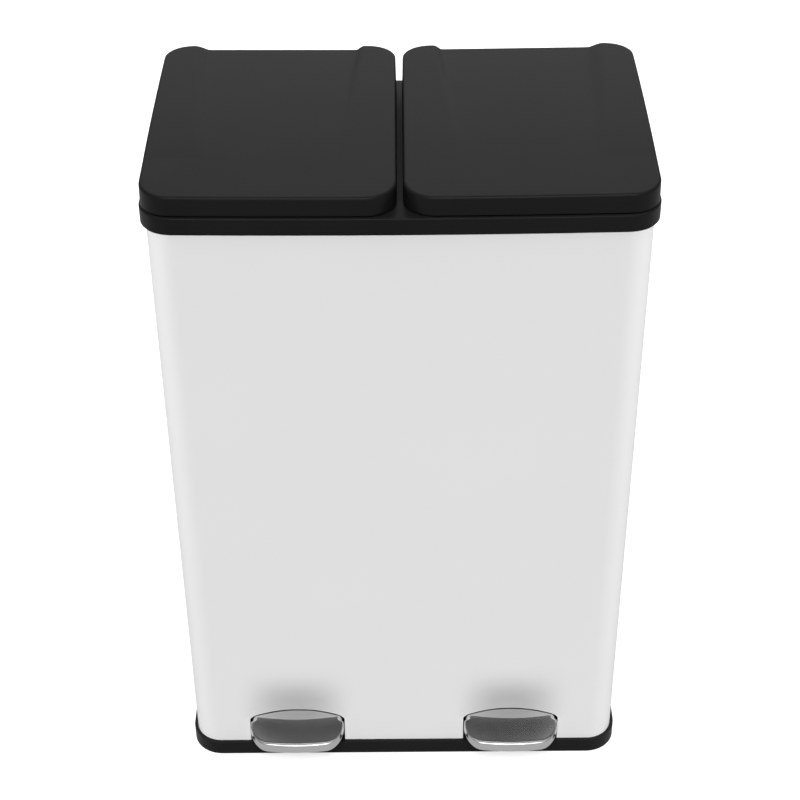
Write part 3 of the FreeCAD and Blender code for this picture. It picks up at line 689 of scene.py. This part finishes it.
# The lids: the right one is worked out, and the left one is its mirror image.
lidForm = {
    "hinge": (132.5, 632.5),     # y and z of its axis
    "rimTop": 615.0,         # height of the frame's top
    "corner": 26.0,
    "band": 12.0,
    "bandSteps": 5,
    "cornerSteps": 8,
    "roundSteps": 6,
    "draft": 0.02,
    "wall": [(0.25, 0), (0.5, 0), (0.75, 0), (0.96, 0), (1.0, -0.5)],   # share of the way down, and bulge
    "thickness": 2.5,
    "frontRound": 2.6,
    "backRound": 2.0,
    "frontRise": 17.6,       # above the frame's top
    "backRise": 34.9,
    "crown": 3.2,
    "innerFall": 1.6,        # at the back, the top falls this much towards the bin's middle
    "panelSink": 4.0,
    "panelLength": 205.0,
    "innerFlank": 7.0,       # widths of the slopes beside the panel
    "outerFlank": 13.0,
    "innerFade": 1.4,        # the panel's depth fades towards the front with this power
    "outerFade": 0.75,       # and its outer bank more slowly
    "innerFoot": (36.0, 51.0),   # panel's edge from the lid's inner side, at the back and at its end
    "outerFoot": (38.0, 52.0),
    "columns": (8, 34, 8),   # points across: beside the panel, on it, and beside it
    "rowStep": 4.0,
    "sideAtBack": 1.0,       # the outer side stands out by this much
    "sideAtFront": -0.6,
    "frontBow": 3.5,
    "swing": 16.5,           # the rear hem follows a circle of this radius about the hinge
}
hingeY, hingeZ = lidForm["hinge"]


def lidShare(y):
    # 0 at the lid's front, 1 at its back.
    return np.clip((y - lidLow[1]) / (lidHigh[1] - lidLow[1]), 0, 1)


def lidHeight(x, y):
    # A straight rise from front to back with a parabola of height crown on it, less innerFall times t^3
    # towards the middle of the bin, less the panel's sinking, which the two banks climb out of.
    form = lidForm
    t = lidShare(y)
    rise = form["frontRise"] + (form["backRise"] - form["frontRise"]) * t + 4 * form["crown"] * t * (1 - t)
    across = np.clip((x - lidLow[0]) / (lidHigh[0] - lidLow[0]), 0, 1)
    fall = form["innerFall"] * (1 - across) * t ** 3
    fade = np.clip(1 - (lidHigh[1] - y) / form["panelLength"], 0, 1)
    sunk = form["panelSink"] * fade ** form["innerFade"]
    extra = form["panelSink"] * fade ** form["outerFade"] - sunk
    innerFoot, outerFoot = panelFeet(y)
    innerClimb = bank((innerFoot - x) / form["innerFlank"])
    outerClimb = bank((x - outerFoot) / form["outerFlank"])
    sinking = sunk * (1 - innerClimb - outerClimb)
    return form["rimTop"] + rise - fall - sinking + extra * outerClimb


def bank(t):
    # Rises from 0 to 1, sharply at its foot and gently at its head: t (2 - t) and 3t^2 - 2t^3, half each.
    t = np.clip(t, 0.0, 1.0)
    return 0.5 * t * (2 - t) + 0.5 * smoothStep(t)


def panelFeet(y):
    # The panel's two edges are straight lines that close in towards the front.
    form = lidForm
    t = (lidHigh[1] - y) / form["panelLength"]
    inner = lidLow[0] + form["innerFoot"][0] + (form["innerFoot"][1] - form["innerFoot"][0]) * t
    outer = lidHigh[0] - form["outerFoot"][0] - (form["outerFoot"][1] - form["outerFoot"][0]) * t
    return inner, outer


def lidColumns(y):
    # Columns between the corners, with lines exactly on the panel's edges.
    inner, outer = panelFeet(y)
    x0, x1 = lidLow[0] + lidForm["corner"], lidHigh[0] - lidForm["corner"]
    innerCount, panelCount, outerCount = lidForm["columns"]
    return np.concatenate([np.linspace(x0, inner, innerCount, endpoint=False),
                           np.linspace(inner, outer, panelCount),
                           np.linspace(outer, x1, outerCount + 1)[1:]])


def lidWarp(plan):
    # y moves by frontBow times the square of x over the frame's half width, less towards the back, and
    # x by the outer side's reach times the cube of the share across.
    form = lidForm
    x, y = plan[..., 0], plan[..., 1]
    t = lidShare(y)
    bow = form["frontBow"] * (x / rimHigh[0]) ** 2 * (1 - t)
    reach = form["sideAtFront"] + (form["sideAtBack"] - form["sideAtFront"]) * t
    across = np.clip((x - lidLow[0]) / (lidHigh[0] - lidLow[0]), 0, 1)
    return np.stack([x + reach * across ** 3, y + bow], axis=-1)


def lidHem(points):
    # Level, and behind the hinge up along a circle about its axis.
    back = np.clip(points[:, 1] - hingeY, 0, lidForm["swing"] - hair)
    circle = hingeZ - np.sqrt(lidForm["swing"] ** 2 - back ** 2)
    return np.maximum(lidLow[2], circle)


def lidRound(y):
    # Radius of the rounded edge: from frontRound to backRound with the square of the share.
    return lidForm["frontRound"] + (lidForm["backRound"] - lidForm["frontRound"]) * lidShare(y) ** 2


def roundEnded(y, z, radius, top, steps=20):
    # Outline of an upright tab: a half circle below (y, z), and straight sides up to top.
    turn = np.linspace(math.pi, 2 * math.pi, steps)
    low = np.column_stack([y + radius * np.cos(turn), z + radius * np.sin(turn)])
    return np.concatenate([low, [[y + radius, top], [y - radius, top]]])


lidInside = {
    "lugPlaces": (24.5, 190.0),      # x of the frame's hinge lugs
    "slotHalf": 2.9,
    "slotFront": 0.4,        # the slots begin this far behind the axis
    "slotReach": 5.0,        # and the cutters reach this far out of the lid
    "earThickness": 3.0,
    "earRadius": 6.0,
    "forkHalf": 2.9,
    "forkThickness": 3.0,
    "forkRadius": 4.0,
    "linkY": 116.861,
    "linkZ": 620.5,
    "postRadius": 3.2,
    "postX": (31.5, 183.0),
    "postY": -111.5,
    "postSides": 24,
    "bury": 1.2,             # plates end this far inside the lid's top
}


def undersideAt(x, y):
    # Height at which a plate ends, a little way into the lid's top.
    return float(lidHeight(np.array(x), np.array(y))) - (lidForm["thickness"] - lidInside["bury"])


def lidFittings():
    # Hinge ears, the fork that the rod lifts, and the two posts that carry the bumpers.
    inside = lidInside
    thick, linkY = inside["earThickness"], inside["linkY"]
    sheets = Sheets()
    for place in inside["lugPlaces"]:
        for x0 in (place - inside["slotHalf"] - thick, place + inside["slotHalf"]):
            top = undersideAt(x0 + thick / 2, hingeY)
            sheets.prism(roundEnded(hingeY, hingeZ, inside["earRadius"], top), x0, x0 + thick)
    for x0 in (stationX - inside["forkHalf"] - inside["forkThickness"], stationX + inside["forkHalf"]):
        tab = roundEnded(linkY, inside["linkZ"], inside["forkRadius"], undersideAt(x0, linkY))
        sheets.prism(tab, x0, x0 + inside["forkThickness"])
    turn = np.linspace(0, 2 * math.pi, inside["postSides"] + 1)[:-1]
    for place in inside["postX"]:
        circle = np.column_stack([place + inside["postRadius"] * np.cos(turn),
                                  inside["postY"] + inside["postRadius"] * np.sin(turn)])
        sheets.prism(circle, lidLow[2], undersideAt(place, inside["postY"]), axis=2)
    return sheets


def lidSlots():
    # Cutters for the slots where the frame's hinge lugs reach through the lid's rear wall.
    inside = lidInside
    sheets = Sheets()
    low, high = lidLow[2] - inside["slotReach"], hingeZ + inside["earRadius"]
    front, back = hingeY + inside["slotFront"], lidHigh[1] + inside["slotReach"]
    for place in inside["lugPlaces"]:
        square = [(front, low), (back, low), (back, high), (front, high)]
        sheets.prism(square, place - inside["slotHalf"], place + inside["slotHalf"])
    return sheets


def makeLids():
    # One cap, turned over for the left side; each gets its wall, its slots and its fittings.
    size = (lidLow[0], lidHigh[0], lidLow[1], lidHigh[1])
    rows = spaced([size[2] + lidForm["corner"], size[3] - lidForm["corner"]], [lidForm["rowStep"]])
    cap = drapedCap(lidForm, size, lidColumns, rows, lidWarp, lidHeight, lidRound, lidHem)
    for name, side in sides.items():
        makePiece("lid_shell_" + name, cap.mirrored(side), name + "_lid", "black_plastic", ["lid_" + name],
                  wall=lidForm["thickness"], cutters=lidSlots().mirrored(side),
                  extras=lidFittings().mirrored(side))


makeLids()


# The pedals' treads: level behind a crease, and a curved slope down to the front edge.
treadForm = {
    "corner": 17.0,
    "band": 11.0,
    "bandSteps": 6,
    "cornerSteps": 6,
    "roundSteps": 6,
    "draft": 0.0,
    "wall": [(0.15, 0), (0.4, 0), (0.7, 0), (0.84, 0), (0.90, 0.28), (0.95, 0.35), (1.0, 0.15)],
    "thickness": 1.5,
    "beadRoom": 0.35,        # the wall stands this far inside the CAD tread, and its bead fills the room
    "frontRound": 2.5,
    "sideRound": 1.0,
    "rearRound": 6.0,
    "rearStart": 2.0,        # it begins this far before the casing's face
    "rearRun": 3.5,          # and is full after this distance
    "roundRun": 12.0,        # the front round grows over this distance towards the edge
    "crease": -1.0,          # behind the casing's face
    "creaseRoom": 0.5,       # a row this far before and behind it keeps it crisp
    "slope": 24.5,           # degrees at the crease
    "curl": 0.00306,         # and steeper towards the front
    "depth": 8.5,            # height of the wall
    "bow": 5.5,
    "fade": 14.0,            # behind the crease
    "rowSteps": (1.5, 0.5, 0.5, 2.5),    # before the crease, up to it, just behind it, and farther back
    "columnStep": 2.2,
}


def treadBow(x):
    # Crease and front edge are the same parabola: bow times the square of the share from the middle.
    half = (treadHigh[0] - treadLow[0]) / 2
    return treadForm["bow"] * ((x - stationX) / half) ** 2


def treadHeight(x, y):
    # Level behind the crease; before it, down by the slope and by curl times the distance squared.
    run = np.maximum(0, casingLow[1] + treadForm["crease"] + treadBow(x) - y)
    return treadHigh[2] - run * math.tan(math.radians(treadForm["slope"])) - treadForm["curl"] * run ** 2


def treadWarp(plan):
    # y moves back by treadBow up to the crease, and by less and less behind it.
    x, y = plan[..., 0], plan[..., 1]
    behind = y - casingLow[1] - treadForm["crease"]
    return np.stack([x, y + treadBow(x) * (1 - smoothStep(behind / treadForm["fade"]))], axis=-1)


def treadRound(y):
    # Radius of the rounded edge: small along the sides, fuller along the front lip, and large from the
    # casing's face backwards, where the notch's corners are round.
    form = treadForm
    front = smoothStep((treadLow[1] + form["roundRun"] - y) / form["roundRun"])
    rear = smoothStep((y - casingLow[1] + form["rearStart"]) / form["rearRun"])
    side = form["sideRound"]
    return side + ((form["frontRound"] - side) * front + (form["rearRound"] - side) * rear)


def makeTreads():
    # One cap whose wall is depth high all round, turned over for the left side.
    form = treadForm
    room = form["beadRoom"]
    size = (treadLow[0] + room, treadHigh[0] - room, treadLow[1] + room, treadHigh[1])
    crease, beside = casingLow[1] + form["crease"], form["creaseRoom"]
    rows = spaced([size[2] + form["corner"], crease - beside, crease, crease + beside,
                   size[3] - form["corner"]], form["rowSteps"])
    columns = spaced([size[0] + form["corner"], size[1] - form["corner"]], [form["columnStep"]])
    cap = drapedCap(form, size, lambda y: columns, rows, treadWarp, treadHeight, treadRound,
                    lambda points: points[:, 2] - form["depth"])
    for name, side in sides.items():
        makePiece("tread_plate_" + name, cap.mirrored(side), name + "_pedal", "pedal_steel",
                  ["pedal_tread_" + name], wall=form["thickness"])


makeTreads()


# The camera stands at the photograph's viewing angle: angles in radians, place in metres.
cameraPlace = {
    "pitch": 0.610675,
    "yaw": -0.001428,
    "roll": 0.008104,
    "focalPixels": 1693.654,
    "imageWidth": 800,
    "sensor": 36.0,
    "place": (0.000431, -1.316782, 1.272250),
}


def makeCamera():
    # Looks along Y, pitched down, turned by yaw and roll.
    place = cameraPlace
    lens = bpy.data.cameras.new("camera")
    lens.sensor_width = place["sensor"]
    lens.lens = place["focalPixels"] * place["sensor"] / place["imageWidth"]
    camera = linked("camera", lens)
    turn = Matrix.Rotation(-place["yaw"], 4, "Z") @ Matrix.Rotation(math.pi / 2 - place["pitch"], 4, "X")
    turn = turn @ Matrix.Rotation(-place["roll"], 4, "Z")
    camera.matrix_world = Matrix.Translation(place["place"]) @ turn
    bpy.context.scene.camera = camera
    print("camera:", round(lens.lens, 2), "mm")


makeCamera()


# The studio: floor, world and lamps.
studio = {
    "floorHalf": 6.0,
    "floorBounce": 0.07,     # floor's colour for light that it sends back up
    "floorSeen": (0.36, 0.70),      # its colour and its glow, for the camera
    "floorMirrored": (0.06, 0.44),  # the same, in reflections
    "skyLow": 0.08,          # light from the world: level at the horizon and overhead
    "skyHigh": 0.44,
    "mirrorLow": 0.27,       # in reflections: level at the horizon, and how much it gains overhead
    "mirrorGain": 1.20,
    "mirrorLean": 0.28,      # how much brighter it is to the right
    "mirrorSides": 0.05,     # the share of it that is left far out to the sides
    "sidesEdge": (0.30, 0.75),   # from where to where it falls off, 0 ahead and 1 at the side
    "hoodTilt": 5.0,         # a dark hood overhead, tilted to the front, in degrees
    "hoodEdge": (0.84, 0.96),    # cosines from its middle, at its edge's outside and inside
    "hoodLevel": 0.03,
    "boxHeight": 40.0,       # a bright soft box to the front, in degrees above the floor
    "boxEdge": (0.93, 0.98),
    "boxLevel": 3.2,
    "sun": {"height": 57.0, "turn": 0.0, "angle": 30.0, "strength": 4.2},
    "lamps": {
        "left": {"place": (-2.5, 0.2, 1.3), "size": 1.6, "power": 44},
        "right": {"place": (2.5, 0.2, 1.3), "size": 1.6, "power": 44},
        "back": {"place": (0.0, 2.8, 1.3), "size": 1.8, "power": 50},
    },
    "aim": (0.0, 0.0, 0.35),
}


def lightPath(wire):
    # Wires that are 1 for camera rays, and for glossy or transmission rays that no matt surface sent on.
    rays = wire.tree.nodes.new("ShaderNodeLightPath")
    names = ["Is Camera Ray", "Is Glossy Ray", "Is Transmission Ray", "Diffuse Depth"]
    camera, glossy, passing, depth = [Wire(wire.tree, rays.outputs[name]) for name in names]
    return camera, wire.math("MAXIMUM", glossy, passing) * wire.math("LESS_THAN", depth, 0.5)


def makeFloor():
    # The glow makes it white for the camera, and its colour keeps the bin's shadow.
    half = studio["floorHalf"]
    corners = [(-half, -half, 0), (half, -half, 0), (half, half, 0), (-half, half, 0)]
    mesh = bpy.data.meshes.new("floor")
    mesh.from_pydata(corners, [], [(0, 1, 2, 3)])
    floor = linked("floor", mesh)
    constants = {"Roughness": 1.0, "Specular IOR Level": 0.0, "Emission Strength": 1.0}
    finish, shader, wire = newFinish("paleFloor", constants)
    camera, mirrored = lightPath(wire)
    seenColour, seenGlow = studio["floorSeen"]
    mirroredColour, mirroredGlow = studio["floorMirrored"]
    colour = mirrored.blend(grey(studio["floorBounce"]), grey(mirroredColour))
    glow = mirrored.blend(grey(0.0), grey(mirroredGlow))
    feed(shader, {
        "Base Color": camera.blend(colour, grey(seenColour)),
        "Emission Color": camera.blend(glow, grey(seenGlow)),
    })
    mesh.materials.append(finish)


def makeWorld():
    # White for the camera. In reflections dim low down and brighter upwards, darker to the sides, with
    # a dark hood overhead and a bright soft box in front. Its light on the bin grows from low to high.
    world = bpy.data.worlds.new("studio")
    bpy.context.scene.world = world
    world.use_nodes = True
    wire = Wire(world.node_tree)
    direction = wire.add("ShaderNodeTexCoord", output=0)
    split = wire.tree.nodes.new("ShaderNodeSeparateXYZ")
    wire.tree.links.new(direction.socket, split.inputs[0])
    across, back, up = [Wire(wire.tree, output) for output in split.outputs]
    camera, mirrored = lightPath(wire)
    tilt = math.radians(studio["hoodTilt"])
    hood = (up * math.cos(tilt) - back * math.sin(tilt)).ramp(*studio["hoodEdge"])
    aside = wire.math("ABSOLUTE", across).ramp(*studio["sidesEdge"])
    rise = studio["mirrorLow"] + up.ramp(0.0, 1.0) * studio["mirrorGain"]
    lean = (1 + across * studio["mirrorLean"]) * (1 - aside * (1 - studio["mirrorSides"]))
    height = math.radians(studio["boxHeight"])
    softBox = (up * math.sin(height) - back * math.cos(height)).ramp(*studio["boxEdge"])
    reflected = rise * lean * (1 - hood * (1 - studio["hoodLevel"])) + softBox * studio["boxLevel"]
    light = studio["skyLow"] + up.ramp(0.0, 1.0) * (studio["skyHigh"] - studio["skyLow"])
    level = mirrored * reflected + (1 - mirrored) * light
    level = wire.math("MAXIMUM", level, camera)
    background = world.node_tree.nodes["Background"]
    background.inputs["Color"].default_value = grey(1.0)
    world.node_tree.links.new(level.socket, background.inputs["Strength"])


def makeLamps():
    # A soft sun from above the front lights it evenly, and area lamps that face aim light the sides
    # and the back. None of them shows in reflections.
    sun = studio["sun"]
    light = bpy.data.lights.new("sun", "SUN")
    light.energy, light.angle = sun["strength"], math.radians(sun["angle"])
    turn = Matrix.Rotation(math.radians(sun["turn"]), 4, "Z")
    holder = linked("sun", light)
    holder.visible_glossy = False
    holder.matrix_world = turn @ Matrix.Rotation(math.radians(90 - sun["height"]), 4, "X")
    target = np.array(studio["aim"])
    for name, lamp in studio["lamps"].items():
        light = bpy.data.lights.new(name, "AREA")
        light.size, light.energy = lamp["size"], lamp["power"]
        holder = linked(name, light)
        holder.visible_glossy = False
        away = np.array(lamp["place"]) - target
        turn = Matrix.Rotation(math.atan2(away[1], away[0]) + math.pi / 2, 4, "Z")
        tilt = Matrix.Rotation(math.atan2(math.hypot(away[0], away[1]), away[2]), 4, "X")
        holder.matrix_world = Matrix.Translation(lamp["place"]) @ turn @ tilt


makeFloor()
makeWorld()
makeLamps()
print("stage set")

bpy.context.scene.view_settings.view_transform = "Standard"
